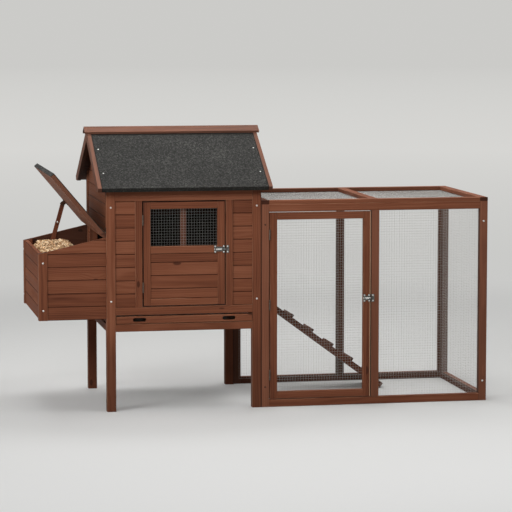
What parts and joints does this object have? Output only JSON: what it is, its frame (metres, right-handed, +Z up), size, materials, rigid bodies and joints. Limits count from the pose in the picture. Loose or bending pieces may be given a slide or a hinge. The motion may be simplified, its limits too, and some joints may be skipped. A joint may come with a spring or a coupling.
{
  "type": "chicken coop with run",
  "caption": "Raised timber chicken coop with a felted gable roof, hinged door, pull-out tray, lidded side nest box and a netted run with its own door and a ramp.",
  "frame": {"origin": "on the ground, under the middle of the whole assembly", "axes": "+X from the nest box to the run, +Y from the front to the back, +Z up"},
  "size_m": [1.8464, 0.7492, 1.128],
  "materials": {
    "stained_wood": "satin reddish-brown stain over planed fir",
    "stained_trim": "same stain, lighter on the roof trim",
    "roofing_felt": "mineral granules on bitumen felt, grey-green",
    "wire_mesh": "galvanised welded wire",
    "galvanised_sheet": "galvanised sheet",
    "galvanised_hardware": "zinc-plated hinges, bolts and stay pivots",
    "screw_steel": "zinc-plated screw heads",
    "wood_shavings": "loose pale wood shavings"
  },
  "bodies": {
    "coop": {"barge_boards": "stained_trim", "bolt_keepers": "galvanised_hardware", "coop_back_boards": "stained_wood", "coop_door_jambs": "stained_wood", "coop_front_boards": "stained_wood", "coop_left_boards": "stained_wood", "coop_posts": "stained_wood", "coop_rails": "stained_wood", "coop_right_boards": "stained_wood", "coop_side_battens": "stained_wood", "coop_side_rails": "stained_wood", "door_frame_leaves": "galvanised_hardware", "hinge_pins": "galvanised_hardware", "nest_corner_posts": "stained_wood", "nest_end_boards": "stained_wood", "nest_floor": "stained_wood", "nest_shavings": "wood_shavings", "nest_side_boards": "stained_wood", "nest_wall_leaves": "galvanised_hardware", "perch": "stained_wood", "perch_brackets": "stained_wood", "ramp_wall_leaves": "galvanised_hardware", "ridge_planks": "stained_trim", "roof_felt": "roofing_felt", "roof_panels": "stained_wood", "run_back_mesh": "wire_mesh", "run_front_mesh": "wire_mesh", "run_posts": "stained_wood", "run_rails": "stained_wood", "run_side_mesh": "wire_mesh", "run_top_frame": "stained_wood", "run_top_mesh": "wire_mesh", "screws": "screw_steel", "stay_wall_pivot": "galvanised_hardware", "tray_runners": "stained_wood"},
    "coop_door": {"coop_door_stiles": "stained_wood", "coop_door_rails": "stained_wood", "coop_door_boards": "stained_wood", "coop_door_mesh": "wire_mesh", "coop_door_mullion": "stained_wood", "coop_door_leaves": "galvanised_hardware", "coop_bolt_plate": "galvanised_hardware"},
    "coop_bolt": {"coop_bolt": "galvanised_hardware"},
    "run_door": {"run_door_stiles": "stained_wood", "run_door_rails": "stained_wood", "run_door_mesh": "wire_mesh", "run_door_leaves": "galvanised_hardware", "run_bolt_plate": "galvanised_hardware"},
    "run_bolt": {"run_bolt": "galvanised_hardware"},
    "nest_lid": {"nest_lid_board": "stained_wood", "nest_lid_felt": "roofing_felt", "nest_lid_leaves": "galvanised_hardware", "stay_lid_bracket": "galvanised_hardware"},
    "stay_lower": {"stay_lower_arm": "stained_wood"},
    "stay_upper": {"stay_upper_arm": "stained_wood"},
    "tray": {"tray_front": "stained_wood", "tray_pan": "galvanised_sheet"},
    "ramp": {"ramp_board": "stained_wood", "ramp_cleats": "stained_wood", "ramp_leaves": "galvanised_hardware"}
  },
  "joints": [
    {"name": "coop_door_hinge", "type": "hinge", "parent": "coop", "child": "coop_door", "pos_m": [-0.505, -0.3281, 0.42], "axis": [0, 0, -1], "range_deg": [0, 115]},
    {"name": "coop_bolt_slide", "type": "slide", "parent": "coop_door", "child": "coop_bolt", "axis": [1, 0, 0], "range_m": [0, 0.013]},
    {"name": "run_door_hinge", "type": "hinge", "parent": "coop", "child": "run_door", "pos_m": [0.0105, -0.3281, 0.03], "axis": [0, 0, -1], "range_deg": [0, 95]},
    {"name": "run_bolt_slide", "type": "slide", "parent": "run_door", "child": "run_bolt", "axis": [1, 0, 0], "range_m": [0, 0.013]},
    {"name": "nest_lid_hinge", "type": "hinge", "parent": "coop", "child": "nest_lid", "pos_m": [-0.6541, 0, 0.72197], "axis": [0, 1, 0], "range_deg": [-63, 0]},
    {"name": "stay_wall_hinge", "type": "hinge", "parent": "coop", "child": "stay_lower", "pos_m": [-0.799, 0.297, 0.63483], "axis": [0, 1, 0], "range_deg": [-1, 111.4]},
    {"name": "stay_lid_hinge", "type": "hinge", "parent": "nest_lid", "child": "stay_upper", "pos_m": [-0.75531, 0.297, 0.79108], "axis": [0, 1, 0], "range_deg": [-1, 28.01]},
    {"name": "tray_slide", "type": "slide", "parent": "coop", "child": "tray", "axis": [0, -1, 0], "range_m": [0, 0.45]},
    {"name": "ramp_hinge", "type": "hinge", "parent": "coop", "child": "ramp", "pos_m": [-0.0259, 0.15, 0.474], "axis": [0, -1, 0], "range_deg": [0, 55]}
  ],
  "couplings": [
    {"joint": "stay_wall_hinge", "follows": "nest_lid_hinge", "ratio": -1.7524},
    {"joint": "stay_lid_hinge", "follows": "nest_lid_hinge", "ratio": -0.42865}
  ]
}
